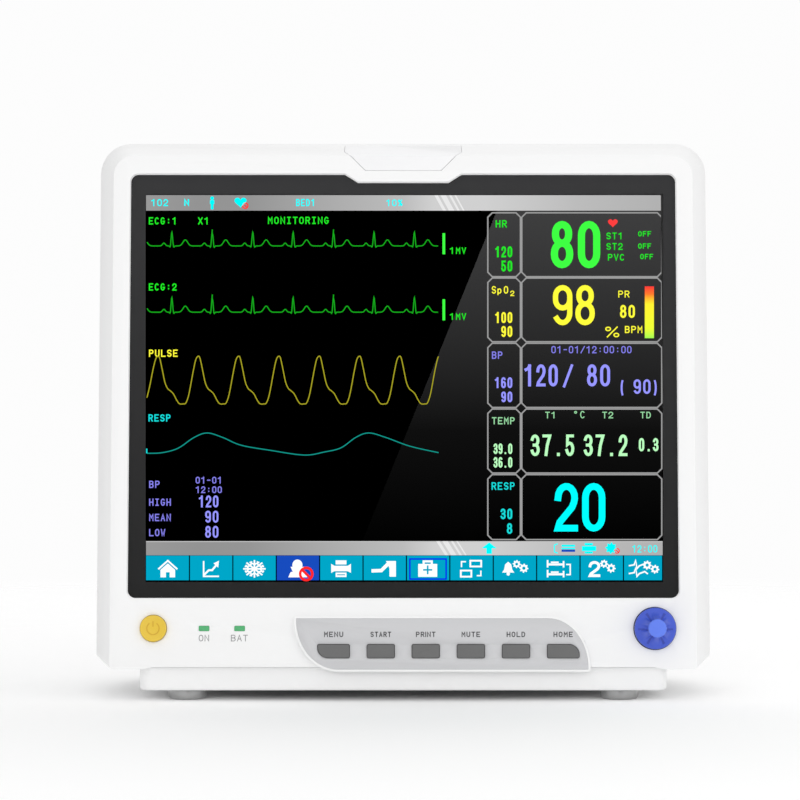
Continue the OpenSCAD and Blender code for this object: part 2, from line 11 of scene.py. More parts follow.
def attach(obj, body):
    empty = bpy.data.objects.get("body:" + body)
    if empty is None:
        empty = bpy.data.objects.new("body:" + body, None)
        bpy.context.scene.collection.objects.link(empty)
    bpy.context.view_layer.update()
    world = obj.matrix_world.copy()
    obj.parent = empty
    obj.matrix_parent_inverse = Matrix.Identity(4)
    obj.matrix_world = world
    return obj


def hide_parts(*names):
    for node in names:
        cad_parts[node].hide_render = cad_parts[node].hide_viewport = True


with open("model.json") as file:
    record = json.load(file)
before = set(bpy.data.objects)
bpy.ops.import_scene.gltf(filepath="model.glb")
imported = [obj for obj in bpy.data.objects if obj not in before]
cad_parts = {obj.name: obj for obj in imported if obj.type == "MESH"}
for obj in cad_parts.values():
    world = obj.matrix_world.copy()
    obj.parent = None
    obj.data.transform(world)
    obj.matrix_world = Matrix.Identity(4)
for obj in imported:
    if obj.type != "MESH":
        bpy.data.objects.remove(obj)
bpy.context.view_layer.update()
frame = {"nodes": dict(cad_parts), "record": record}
MM = 0.001

# ---- the leaning front ----

FACE_Y = -55.15          # display plane at the middle of the screen, mm
SCREEN_Z = 183.6         # height of the middle of the display
TILT = math.radians(-5)
SCREEN_W, SCREEN_H = 304.1, 228.1
TO_FACE = Matrix.Translation((0, FACE_Y * MM, SCREEN_Z * MM))
FACE = TO_FACE @ Matrix.Rotation(TILT, 4, "X") @ Matrix.Scale(MM, 4)
LCD_DEPTH = 5.2          # lit surface behind the face
GLASS_DEPTH = 2.4        # back of the cover glass
# top left corner of the lit picture, as the camera sees it in the plane through the middle of the face
PICTURE_LEFT, PICTURE_TOP = -151.4, 297.1
CONTROL_T = -141.5       # height of knob, lamps and power button on the face
KNOB_X = 147
POWER_X = -146
KEY_T = -154.7           # height of the key row on the face
KEY_H = 7.8
# middle and width of each key across the face, and on which side its large corner is, if any
KEYS = [(-40.65, 18.5, -1), (-13.1, 15.9, 0), (13.1, 15.9, 0),
        (39.4, 15.9, 0), (65.7, 15.9, 0), (93.25, 18.5, 1)]
CAMERA = Vector((-1.9, FACE_Y - 1600, 176.1))


def srgb(r, g, b):
    """Linear colour of a screen colour given as 0 to 255."""
    def one(c):
        c = c / 255
        return c / 12.92 if c <= 0.04045 else ((c + 0.055) / 1.055) ** 2.4
    return (one(r), one(g), one(b), 1.0)


# ---- materials ----

def principled(name):
    m = bpy.data.materials.new(name)
    m.use_nodes = True
    return m, m.node_tree, m.node_tree.nodes["Principled BSDF"]


def plastic(name, colour, rough=0.45, grain=0.0, grain_size=900, metallic=0.0, coat=0.0, ior=1.46):
    """A plain surface with an optional fine moulded grain."""
    m, tree, b = principled(name)
    b.inputs["Base Color"].default_value = colour
    b.inputs["Roughness"].default_value = rough
    b.inputs["Metallic"].default_value = metallic
    b.inputs["Coat Weight"].default_value = coat
    b.inputs["IOR"].default_value = ior
    if grain:
        where = tree.nodes.new("ShaderNodeTexCoord")
        noise = tree.nodes.new("ShaderNodeTexNoise")
        noise.inputs["Scale"].default_value = grain_size
        noise.inputs["Detail"].default_value = 2.0
        bump = tree.nodes.new("ShaderNodeBump")
        bump.inputs["Strength"].default_value = grain
        bump.inputs["Distance"].default_value = 0.0002
        tree.links.new(where.outputs["Object"], noise.inputs["Vector"])
        tree.links.new(noise.outputs["Fac"], bump.inputs["Height"])
        tree.links.new(bump.outputs["Normal"], b.inputs["Normal"])
    return m


def light(name, colour, strength=1.05):
    """A lit surface of the picture; it has no shine of its own."""
    m, tree, b = principled(name)
    b.inputs["Base Color"].default_value = (0, 0, 0, 1)
    b.inputs["Roughness"].default_value = 1.0
    b.inputs["Specular IOR Level"].default_value = 0.0
    b.inputs["Emission Color"].default_value = colour
    b.inputs["Emission Strength"].default_value = strength
    return m


def ramp_by_axis(m, axis, low, high, stops, socket):
    """Drives one colour socket along an object axis, from low to high in metres, through colour stops."""
    tree = m.node_tree
    where = tree.nodes.new("ShaderNodeTexCoord")
    split = tree.nodes.new("ShaderNodeSeparateXYZ")
    span = tree.nodes.new("ShaderNodeMapRange")
    span.inputs["From Min"].default_value = low
    span.inputs["From Max"].default_value = high
    ramp = tree.nodes.new("ShaderNodeValToRGB")
    marks = ramp.color_ramp.elements
    while len(marks) < len(stops):
        marks.new(0.5)
    for mark, (at, colour) in zip(marks, stops):
        mark.position = at
        mark.color = colour
    tree.links.new(where.outputs["Object"], split.inputs["Vector"])
    tree.links.new(split.outputs[axis], span.inputs["Value"])
    tree.links.new(span.outputs["Result"], ramp.inputs["Fac"])
    tree.links.new(ramp.outputs["Color"], tree.nodes["Principled BSDF"].inputs[socket])


WHITE = plastic("white_plastic", srgb(246, 246, 246), 0.5, 0.15)
HOUSING = plastic("housing_plastic", srgb(241, 241, 241), 0.5, 0.25, 700)
BASE = plastic("base_plastic", srgb(245, 245, 245), 0.42, 0.12)
LAMP = plastic("lamp_lens", srgb(245, 245, 246), 0.32)
RIM = plastic("panel_rim", srgb(247, 247, 247), 0.35)
OVERLAY = plastic("panel_film", srgb(206, 206, 208), 0.5, 0.1, 2500)
KEY = plastic("key_rubber", srgb(107, 107, 107), 0.6, 0.1, 2500)
# Dark grey of the painted shade in the gaps round the keys.
KEY_SHADE_INK = plastic("key_gap_painted_shade", srgb(52, 52, 53), 0.7)
YELLOW = plastic("yellow_button", srgb(232, 196, 62), 0.4, coat=0.2)
# Darker yellow of the painted shade in the power button's engraving.
YELLOW_ENGRAVING_SHADE = plastic("yellow_engraving_shade", srgb(216, 170, 44), 0.45)
BLUE = plastic("blue_knob", srgb(62, 88, 204), 0.42, coat=0.15)
# Near black blue of the painted shadow round the knob's flange.
KNOB_GAP_SHADOW = plastic("knob_gap_shadow", srgb(30, 34, 66), 0.7)
# Darker blue of the painted shade in the knob's flutes.
BLUE_FLUTE_SHADE = plastic("blue_knob_flute_shade", srgb(48, 68, 172), 0.45)
BLUE_CAP = plastic("blue_knob_cap", srgb(96, 128, 240), 0.45)
GREEN_LENS = plastic("green_lens", srgb(82, 180, 116), 0.35, coat=0.3)
BLACK = plastic("black_plastic", srgb(38, 38, 38), 0.5, 0.2)
GREY = plastic("grey_plastic", srgb(178, 179, 182), 0.5, 0.2)
DARK_GREY = plastic("dark_grey_plastic", srgb(90, 92, 96), 0.5, 0.2)
RUBBER = plastic("foot_rubber", srgb(172, 172, 172), 0.3, metallic=0.6)
DARK_RUBBER = plastic("roller_rubber", srgb(52, 52, 54), 0.85, 0.3, 1500)
SILICONE = plastic("silicone", srgb(205, 205, 200), 0.6)
STEEL = plastic("steel", srgb(190, 190, 192), 0.28, metallic=1.0)
SHEET = plastic("sheet_metal", srgb(200, 201, 204), 0.4, 0.1, 400, metallic=1.0)
BRASS = plastic("brass", srgb(205, 170, 95), 0.3, metallic=1.0)
BOARD = plastic("circuit_board", srgb(28, 92, 58), 0.45, coat=0.3)
CHIP = plastic("chip", srgb(30, 30, 32), 0.5)
PLUG_GREEN = plastic("green_socket", srgb(40, 150, 90), 0.4)
PLUG_BLUE = plastic("blue_socket", srgb(50, 90, 180), 0.4)
PAPER = plastic("paper", srgb(240, 240, 236), 0.9)
PLATE = plastic("plate_film", srgb(214, 215, 218), 0.4)
INK = plastic("label_ink", srgb(64, 64, 66), 0.6)
INK_PALE = plastic("label_ink_pale", srgb(140, 140, 142), 0.6)
LCD_BLACK = plastic("lcd_surface", (0.0, 0.0, 0.0, 1), 0.0, ior=1.5)

# The glass is fully clear: the display surface behind it carries its shine.
GLASS = plastic("cover_glass", (0.0, 0.0, 0.0, 1), 0.0, ior=1.45)
GLASS.node_tree.nodes["Principled BSDF"].inputs["Alpha"].default_value = 0.0

PRINT_AND_REFLECTION = plastic("glass_print_and_reflection", srgb(50, 50, 52), 0.5)
PRINT_AND_REFLECTION.node_tree.nodes["Principled BSDF"].inputs["Specular IOR Level"].default_value = 0.0
# The border is ramped from darker at the bottom to lighter at the top: a painted reflection of the bright
# surround above.
ramp_by_axis(PRINT_AND_REFLECTION, "Z", 0.06, 0.31,
             [(0.0, srgb(43, 43, 43)), (1.0, srgb(58, 58, 59))], "Base Color")


# ---- shared shape helpers ----

def seen_at(x, y, depth):
    """The face point at a depth that the camera sees x across and y down from the picture's corner."""
    to_face = FACE.inverted()
    eye = to_face @ (CAMERA * MM)
    aim = to_face @ Vector(((PICTURE_LEFT + x) * MM, FACE_Y * MM, (PICTURE_TOP - y) * MM))
    return eye + (aim - eye) * ((depth - eye.y) / (aim.y - eye.y))


def put(name, verts, faces, material, body="monitor", matrix=FACE, smooth=False):
    """A mesh piece from points given in mm."""
    mesh = bpy.data.meshes.new(name)
    mesh.from_pydata([tuple(matrix @ Vector(v)) for v in verts], [], faces)
    mesh.validate()
    if smooth:
        mesh.shade_smooth()
    mesh.materials.append(material)
    obj = bpy.data.objects.new(name, mesh)
    bpy.context.scene.collection.objects.link(obj)
    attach(obj, body)
    return obj


def body_of_node(node):
    for name, nodes in frame["record"]["behaviour"]["bodies"].items():
        if node in nodes:
            return name
    return "monitor"


def soften(node, material, width=0.4, angle=32, segments=2):
    """The CAD node again with welded faces and rounded edges, or only smoothed where width is 0."""
    bm = bmesh.new()
    bm.from_mesh(frame["nodes"][node].data)
    bmesh.ops.remove_doubles(bm, verts=bm.verts, dist=0.000004)
    if width:
        bmesh.ops.dissolve_limit(bm, angle_limit=math.radians(0.6), verts=bm.verts, edges=bm.edges)
    bmesh.ops.recalc_face_normals(bm, faces=bm.faces)
    if not width:
        for edge in bm.edges:
            edge.smooth = edge.calc_face_angle(0) < math.radians(angle)
    mesh = bpy.data.meshes.new("soft_" + node)
    bm.to_mesh(mesh)
    bm.free()
    mesh.shade_smooth()
    mesh.materials.append(material)
    obj = bpy.data.objects.new("soft_" + node, mesh)
    bpy.context.scene.collection.objects.link(obj)
    if width:
        bevel = obj.modifiers.new("edge", "BEVEL")
        bevel.width = width * MM
        bevel.segments = segments
        bevel.limit_method = "ANGLE"
        bevel.angle_limit = math.radians(angle)
        bevel.harden_normals = True
        bevel.miter_outer = "MITER_ARC"
    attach(obj, body_of_node(node))
    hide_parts(node)
    return obj


def dress(node, material):
    """A CAD node shown as it is."""
    mesh = frame["nodes"][node].data
    mesh.materials.clear()
    mesh.materials.append(material)


# ---- drawing on the display ----
# Positions are in mm from the top left corner of the lit picture, across and down.

class Ink:
    """Flat shapes of one colour, gathered into one thin mesh."""

    def __init__(self, name, colour, layer):
        self.name, self.layer = name, layer
        self.material = light(name, colour)
        self.verts, self.faces = [], []

    def poly(self, points):
        start = len(self.verts)
        self.verts += [tuple(p) for p in points]
        self.faces.append(list(range(start, start + len(points))))

    def rect(self, x0, x1, y0, y1):
        self.poly([(x0, y0), (x1, y0), (x1, y1), (x0, y1)])

    def disc(self, x, y, r, n=24, squash=1.0):
        self.poly([(x + r * math.cos(2 * math.pi * i / n), y + squash * r * math.sin(2 * math.pi * i / n))
                   for i in range(n)])

    def line(self, points, width, closed=False):
        """A stroke with mitred corners."""
        pts = [Vector(p) for p in points]
        n = len(pts)
        sides = []
        for i, p in enumerate(pts):
            before = pts[i - 1] if i or closed else None
            after = pts[(i + 1) % n] if i < n - 1 or closed else None
            d1 = (p - before).normalized() if before is not None else (after - p).normalized()
            d2 = (after - p).normalized() if after is not None else d1
            mid = d1 + d2
            mid = mid.normalized() if mid.length > 0.2 else d1
            normal = Vector((-mid.y, mid.x))
            reach = width / 2 / max(0.45, normal.dot(Vector((-d1.y, d1.x))))
            sides.append((p + normal * reach, p - normal * reach))
        for i in range(n if closed else n - 1):
            a, b = sides[i], sides[(i + 1) % n]
            self.poly([a[0], b[0], b[1], a[1]])

    def ring(self, x, y, r, width, n=24):
        self.line([(x + r * math.cos(2 * math.pi * i / n), y + r * math.sin(2 * math.pi * i / n))
                   for i in range(n)], width, True)

    def words(self, text, x0, x1, y0, y1, stroke=0.72, gap=0.24):
        """Lettering of even stroke filling the given box; a bar is a narrow I, a third of a cell wide."""
        cells = [0.34 if char == "|" else 1.0 for char in text]
        pitch = (x1 - x0) / (sum(cells) - gap)
        height = y1 - y0 - stroke
        for n, char in enumerate(text):
            left = x0 + sum(cells[:n]) * pitch + stroke / 2
            width = pitch * (cells[n] - gap) - stroke
            for path in GLYPHS.get(char, []):
                points = [Vector((left + u * width, y0 + stroke / 2 + v * height)) for u, v in path]
                if path[0] == path[-1]:
                    self.line(points[:-1], stroke, True)
                else:
                    first = (points[0] - points[1]).normalized() * stroke / 2
                    last = (points[-1] - points[-2]).normalized() * stroke / 2
                    self.line([points[0] + first] + points[1:-1] + [points[-1] + last], stroke)

    def make(self, depth=None):
        """On the display, placed by seen_at, or on the front at a depth, measured from its middle."""
        if depth is None:
            verts = [seen_at(x, y, LCD_DEPTH - self.layer) for x, y in self.verts]
        else:
            verts = [(x, depth - self.layer, -y) for x, y in self.verts]
        obj = put(self.name, verts, self.faces, self.material)
        bm = bmesh.new()
        bm.from_mesh(obj.data)
        for f in bm.faces:
            if f.normal.y > 0:
                f.normal_flip()
        bm.to_mesh(obj.data)
        bm.free()
        return obj


def arc(cx, cy, rx, ry, start, end, n=10):
    """Points of an elliptical arc, in degrees, clockwise from the right with y down."""
    out = []
    for i in range(n + 1):
        a = math.radians(start + (end - start) * i / n)
        out.append((cx + rx * math.cos(a), cy + ry * math.sin(a)))
    return out


def loop(x0, x1, y0, y1, ry):
    """Upright closed ring with rounded ends; its last point is its first."""
    cx, rx = (x0 + x1) / 2, (x1 - x0) / 2
    points = arc(cx, y0 + ry, rx, ry, 180, 360) + arc(cx, y1 - ry, rx, ry, 0, 180)
    return points + points[:1]


# Pen paths of plain characters in a box one wide and one high, y down.
GLYPHS = {
    "0": [loop(0, 1, 0, 1, 0.27)],
    "1": [[(0.06, 0.2), (0.4, 0.14), (0.6, 0.02)], [(0.62, 0), (0.62, 1)]],
    "2": [arc(0.5, 0.27, 0.5, 0.27, 180, 385) + [(0.84, 0.5), (0.1, 0.86), (0.0, 1.0), (1, 1)]],
    "3": [arc(0.45, 0.25, 0.5, 0.25, 195, 440) + [(0.3, 0.49)],
          [(0.3, 0.49)] + arc(0.47, 0.74, 0.53, 0.26, -80, 165)],
    "5": [[(0.93, 0), (0.1, 0), (0.06, 0.47)] + arc(0.48, 0.69, 0.52, 0.31, -120, 165)],
    "6": [loop(0, 1, 0.42, 1, 0.24), arc(0.5, 0.28, 0.5, 0.28, -35, -180) + [(0, 0.7)]],
    "7": [[(0, 0), (1, 0), (0.56, 0.5), (0.36, 1)]],
    "8": [loop(0.07, 0.93, 0, 0.465, 0.21), loop(0, 1, 0.465, 1, 0.25)],
    "9": [loop(0, 1, 0, 0.58, 0.24), [(1, 0.3)] + arc(0.5, 0.72, 0.5, 0.28, 0, 145)],
    "A": [[(0, 1), (0.5, 0), (1, 1)], [(0.2, 0.66), (0.8, 0.66)]],
    "B": [[(0, 1), (0, 0)] + arc(0.6, 0.235, 0.34, 0.235, -90, 90) + [(0, 0.47)],
          [(0, 0.47)] + arc(0.6, 0.735, 0.4, 0.265, -90, 90) + [(0, 1)]],
    "C": [arc(0.5, 0.5, 0.5, 0.5, -45, -315, 16)],
    "D": [[(0, 0)] + arc(0.45, 0.5, 0.55, 0.5, -90, 90) + [(0, 1), (0, 0)]],
    "E": [[(1, 0), (0, 0), (0, 1), (1, 1)], [(0, 0.5), (0.8, 0.5)]],
    "F": [[(1, 0), (0, 0), (0, 1)], [(0, 0.5), (0.8, 0.5)]],
    "G": [arc(0.5, 0.5, 0.5, 0.5, -45, -330, 16) + [(1, 0.56), (0.6, 0.56)]],
    "H": [[(0, 0), (0, 1)], [(1, 0), (1, 1)], [(0, 0.5), (1, 0.5)]],
    "I": [[(0.5, 0), (0.5, 1)], [(0.15, 0), (0.85, 0)], [(0.15, 1), (0.85, 1)]],
    "|": [[(0.5, 0), (0.5, 1)]],
    "L": [[(0, 0), (0, 1), (1, 1)]],
    "M": [[(0, 1), (0, 0), (0.5, 0.55), (1, 0), (1, 1)]],
    "N": [[(0, 1), (0, 0), (1, 1), (1, 0)]],
    "O": [loop(0, 1, 0, 1, 0.36)],
    "P": [[(0, 1), (0, 0)] + arc(0.6, 0.26, 0.4, 0.26, -90, 90) + [(0, 0.52)]],
    "R": [[(0, 1), (0, 0)] + arc(0.6, 0.26, 0.4, 0.26, -90, 90) + [(0, 0.52)], [(0.5, 0.52), (1, 1)]],
    "S": [arc(0.5, 0.25, 0.5, 0.25, -25, -270) + arc(0.5, 0.75, 0.5, 0.25, -90, 155)],
    "T": [[(0, 0), (1, 0)], [(0.5, 0), (0.5, 1)]],
    "U": [[(0, 0)] + arc(0.5, 0.68, 0.5, 0.32, 180, 0) + [(1, 0)]],
    "V": [[(0, 0), (0.5, 1), (1, 0)]],
    "W": [[(0, 0), (0.22, 1), (0.5, 0.4), (0.78, 1), (1, 0)]],
    "X": [[(0, 0), (1, 1)], [(1, 0), (0, 1)]],
    "p": [[(0, 0.4), (0, 1.22)], loop(0, 0.9, 0.36, 1, 0.24)],
    "%": [loop(0, 0.36, 0.02, 0.36, 0.15), loop(0.64, 1, 0.64, 0.98, 0.15), [(0.88, 0), (0.12, 1)]],
    "/": [[(1, 0), (0, 1)]],
    ":": [[(0.5, 0.26), (0.5, 0.3)], [(0.5, 0.76), (0.5, 0.8)]],
    "-": [[(0.15, 0.5), (0.85, 0.5)]],
    ".": [[(0.5, 0.98), (0.5, 1)]],
    "(": [arc(1.25, 0.5, 1.0, 0.72, 220, 140)],
    ")": [arc(-0.25, 0.5, 1.0, 0.72, -40, 40)],
    "°": [loop(0.1, 0.6, 0, 0.28, 0.13)],
}


def smooth_path(points, steps=10):
    """A soft curve through points."""
    out = []
    for i in range(len(points) - 1):
        a = Vector(points[max(i - 1, 0)])
        b = Vector(points[i])
        c = Vector(points[i + 1])
        d = Vector(points[min(i + 2, len(points) - 1)])
        for k in range(steps):
            u = k / steps
            out.append(0.5 * ((2 * b) + (c - a) * u + (2 * a - 5 * b + 4 * c - d) * u * u
                              + (3 * b - a - 3 * c + d) * u ** 3))
    out.append(Vector(points[-1]))
    return out


BEAT = 23.8              # mm between heart beats across the screen
TRACE_END = 172.2        # where the traces stop


def ecg_trace(ink, base, height):
    """One row of heart beats: a small wave, a tall spike and a rounded wave."""
    pts = []
    first = 15.2
    x = 0.6
    while x < TRACE_END:
        u = (x - first + BEAT / 2) % BEAT - BEAT / 2
        y = 1.7 * math.exp(-((u + 4.7) / 1.1) ** 2) + 3.6 * math.exp(-((u - 7.9) / 1.9) ** 2)
        y += height * max(0.0, 1 - abs(u) / 0.85) - 0.8 * max(0.0, 1 - abs(u - 1.2) / 0.6)
        y -= 0.7 * max(0.0, 1 - abs(u + 1.2) / 0.5)
        pts.append((x, base - y))
        x += 0.3
    ink.line(pts, 0.62)


def pleth_trace(ink):
    """Pulse wave with a shoulder on its falling side."""
    beat = [(0, 95.2), (1.0, 96.6), (2.4, 103.0), (4.0, 110.6), (5.6, 114.2), (7.2, 115.6), (9.0, 117.4),
            (11.0, 121.2), (12.6, 123.2), (14.8, 123.3), (16.4, 122.6), (18.2, 117.2), (20.6, 104.4),
            (22.2, 97.2)]
    pts = [(0.5, 119.6), (2.2, 112.6), (4.4, 101.6), (5.9, 96.4)]
    for n in range(7):
        pts += [(7.1 + n * 23.7 + x, y) for x, y in beat]
    pts = [p for p in pts if p[0] < TRACE_END - 0.4]
    pts.append((TRACE_END, 95.4))
    ink.line(smooth_path(pts, 5), 0.62)


def resp_trace(ink):
    pts = [(0.6, 152.4), (9.5, 152.0), (18.8, 149.4), (28.0, 143.2), (35.9, 140.4), (45.0, 143.0),
           (55.9, 147.6), (73.0, 150.6), (93.0, 153.4), (105.0, 151.6), (114.8, 149.1), (123.5, 143.0),
           (131.1, 140.4), (141.0, 143.0), (155.4, 148.2), (TRACE_END, 152.0)]
    ink.line(smooth_path(pts, 8), 0.62)


def frame_box(ink, x0, x1, y0, y1):
    """Outline with cut corners."""
    c = 2.6
    ink.line([(x0 + c, y0), (x1 - c, y0), (x1, y0 + c), (x1, y1 - c), (x1 - c, y1), (x0 + c, y1),
              (x0, y1 - c), (x0, y0 + c)], 0.8, True)


def gear(ink, hole, x, y, r, teeth=8):
    pts = []
    for i in range(teeth * 4):
        a = 2 * math.pi * i / (teeth * 4)
        k = r if i % 4 in (0, 1) else r * 0.74
        pts.append((x + k * math.cos(a), y + k * math.sin(a)))
    ink.poly(pts)
    hole.disc(x, y, r * 0.36, 14)


def heart(ink, x, y, s):
    pts = []
    for i in range(32):
        a = 2 * math.pi * i / 32
        rise = 13 * math.cos(a) - 5 * math.cos(2 * a) - 2 * math.cos(3 * a) - math.cos(4 * a)
        pts.append((x + s * math.sin(a) ** 3 * 0.5, y - s * rise / 34))
    ink.poly(pts)


def barred(ink, x, y, r):
    """Ring with a slanted bar: switched off."""
    ink.ring(x, y, r, r * 0.42, 20)
    ink.line([(x - r * 0.62, y - r * 0.62), (x + r * 0.62, y + r * 0.62)], r * 0.42)


def icons(white, hole, red, y):
    """Pictograms of the soft keys, centred on height y; hole is the key colour for cut-outs."""
    tile = 25.5
    c = [12.8 + tile * i for i in range(11)] + [292.4]
    # home
    x = c[0]
    white.line([(x - 5.6, y + 0.2), (x, y - 4.8), (x + 5.6, y + 0.2)], 1.0)
    white.poly([(x - 4.3, y + 0.6), (x, y - 3.2), (x + 4.3, y + 0.6), (x + 4.3, y + 5), (x - 4.3, y + 5)])
    hole.rect(x - 1.1, x + 1.1, y + 2.0, y + 5)
    # trend chart
    x = c[1]
    white.line([(x - 4.4, y - 4.6), (x - 4.4, y + 4.4), (x + 4.6, y + 4.4)], 0.9)
    white.line([(x - 4.2, y + 3.6), (x - 1.4, y + 0.8), (x + 0.6, y + 0.8), (x + 3.2, y - 2.4)], 1.1)
    white.poly([(x + 1.4, y - 3.2), (x + 4.6, y - 4.8), (x + 4.2, y - 0.8)])
    # hold: snowflake
    x = c[2]
    for k in range(4):
        a = math.pi * k / 4
        dx, dy = math.cos(a), math.sin(a) * 0.78
        white.line([(x - 6.6 * dx, y - 6.6 * dy), (x + 6.6 * dx, y + 6.6 * dy)], 0.95)
        for s in (-1, 1):
            for turn in (-0.5, 0.5):
                bx, by = math.cos(a + turn), math.sin(a + turn) * 0.78
                white.line([(x + s * 3.2 * dx, y + s * 3.2 * dy), (x + s * 5.9 * bx, y + s * 5.9 * by)], 0.8)
    # person, switched off
    x = c[3]
    white.disc(x - 0.2, y - 2.2, 3.0, 20, 1.1)
    white.poly([(x - 4.2, y - 1.2), (x + 4.2, y - 1.2), (x + 3.0, y + 1.6), (x - 3.0, y + 1.6)])
    white.poly([(x - 5.6, y + 5), (x - 4.2, y + 1.9), (x, y + 1.2), (x + 4.2, y + 1.9), (x + 5.6, y + 5)])
    barred(red, x + 5.0, y + 3.0, 3.6)
    # printer
    x = c[4]
    white.rect(x - 3.2, x + 3.2, y - 5.0, y - 2.6)
    white.poly([(x - 5.8, y - 3.0), (x - 4.0, y - 1.8), (x + 4.0, y - 1.8), (x + 5.8, y - 3.0),
                (x + 5.8, y + 2.4), (x + 4.0, y + 1.4), (x - 4.0, y + 1.4), (x - 5.8, y + 2.4)])
    white.rect(x - 3.2, x + 3.2, y + 2.2, y + 4.8)
    hole.rect(x - 2.4, x + 2.4, y + 3.2, y + 3.8)
    # arm in a cuff
    x = c[5]
    white.line([(x - 7.6, y + 1.2), (x - 1.8, y + 1.0), (x + 2.6, y - 3.4)], 2.0)
    white.poly([(x + 1.0, y - 4.6), (x + 6.8, y - 4.6), (x + 6.8, y + 4.6), (x + 3.0, y + 4.6),
                (x + 3.0, y - 0.4)])
    # first-aid case
    x = c[6]
    white.rect(x - 5.6, x + 5.6, y - 2.9, y + 4.7)
    white.line([(x - 2.4, y - 2.6), (x - 2.4, y - 4.4), (x + 2.4, y - 4.4), (x + 2.4, y - 2.6)], 1.2)
    hole.rect(x - 2.7, x + 2.7, y + 0.1, y + 1.1)
    hole.rect(x - 0.5, x + 0.5, y - 2.0, y + 3.2)
    # linked screens
    x = c[7]
    white.line([(x - 0.4, y - 4.8), (x + 6.0, y - 4.8), (x + 6.0, y - 1.4), (x - 0.4, y - 1.4)], 1.0, True)
    white.line([(x - 6.0, y + 1.0), (x + 0.2, y + 1.0), (x + 0.2, y + 4.6), (x - 6.0, y + 4.6)], 1.0, True)
    white.line([(x - 5.6, y - 1.0), (x - 5.6, y - 4.2), (x - 3.0, y - 4.2)], 0.8)
    white.line([(x + 5.8, y + 1.0), (x + 5.8, y + 4.0), (x + 3.4, y + 4.0)], 0.8)
    # alarm set-up: bell and gears
    x = c[8]
    white.poly([(x - 7.2, y + 2.2), (x - 6.0, y + 0.4), (x - 5.4, y - 2.6), (x - 3.6, y - 4.2),
                (x - 1.8, y - 2.6), (x - 1.2, y + 0.4), (x, y + 2.2)])
    white.disc(x - 3.6, y + 3.0, 1.0, 12)
    gear(white, hole, x + 1.4, y - 2.8, 2.4)
    gear(white, hole, x + 5.6, y - 0.4, 2.7)
    # two beds joined
    x = c[9]
    for z in (-3.4, 2.4):
        white.rect(x - 6.4, x - 5.4, y + z - 1.8, y + z + 2.6)
        white.rect(x - 6.4, x + 3.6, y + z + 0.2, y + z + 1.4)
        white.rect(x + 3.0, x + 4.0, y + z - 1.2, y + z + 2.6)
        white.rect(x - 4.0, x + 0.6, y + z - 0.9, y + z)
    white.line([(x + 5.0, y - 2.6), (x + 7.4, y - 2.6), (x + 7.4, y + 3.4), (x + 5.0, y + 3.4)], 0.8)
    # second channel: figure and gears
    x = c[10]
    white.words("2", x - 7.2, x - 0.4, y - 4.6, y + 4.8, 1.6)
    gear(white, hole, x + 1.8, y - 3.0, 2.4)
    gear(white, hole, x + 6.0, y - 0.4, 2.7)
    # wave set-up: two traces and gears
    x = c[11]
    for z in (-1.8, 2.8):
        white.line([(x - 8.2, y + z), (x - 5.0, y + z - 0.6), (x - 4.2, y + z - 3.2), (x - 3.4, y + z + 1.6),
                    (x - 2.0, y + z), (x + 1.2, y + z - 1.2), (x + 3.0, y + z + 0.2)], 0.85)
    gear(white, hole, x + 2.6, y - 2.2, 2.7)
    gear(white, hole, x + 7.2, y + 0.2, 2.6)


